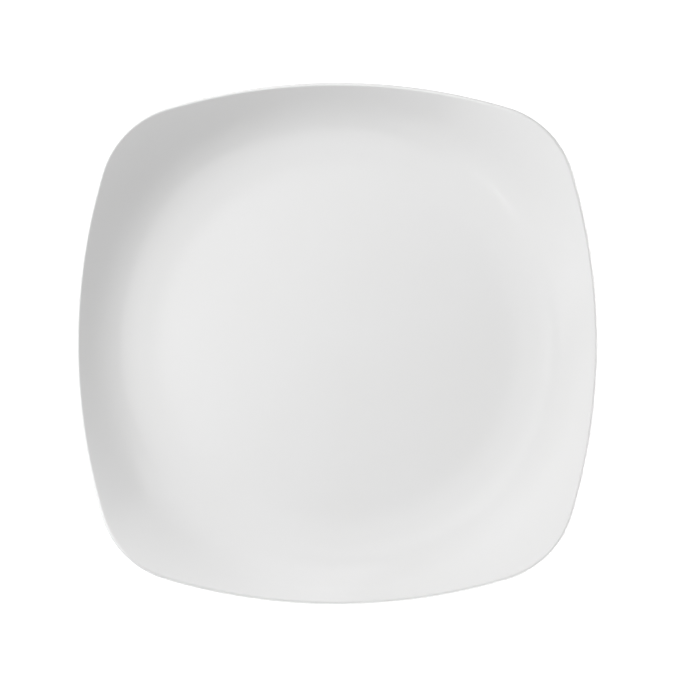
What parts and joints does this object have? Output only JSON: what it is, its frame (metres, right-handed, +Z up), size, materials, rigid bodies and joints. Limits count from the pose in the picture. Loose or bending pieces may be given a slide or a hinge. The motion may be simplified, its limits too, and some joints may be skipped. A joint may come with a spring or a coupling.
{
  "type": "square dinner plate",
  "caption": "Square dinner plate in glazed white porcelain, with bowed sides, rounded raised corners, a round flat well and a foot ring.",
  "frame": {"origin": "centre of the plane that the foot ring stands on", "axes": "+Z up, out of the well; the four sides face +X, +Y, -X and -Y"},
  "size_m": [0.26, 0.26, 0.0304],
  "materials": {
    "bare_porcelain": "matte",
    "white_glaze": "gloss"
  },
  "bodies": {
    "root": {"porcelain_body": "bare_porcelain", "outer_glaze": "white_glaze", "base_glaze": "white_glaze"}
  },
  "joints": []
}
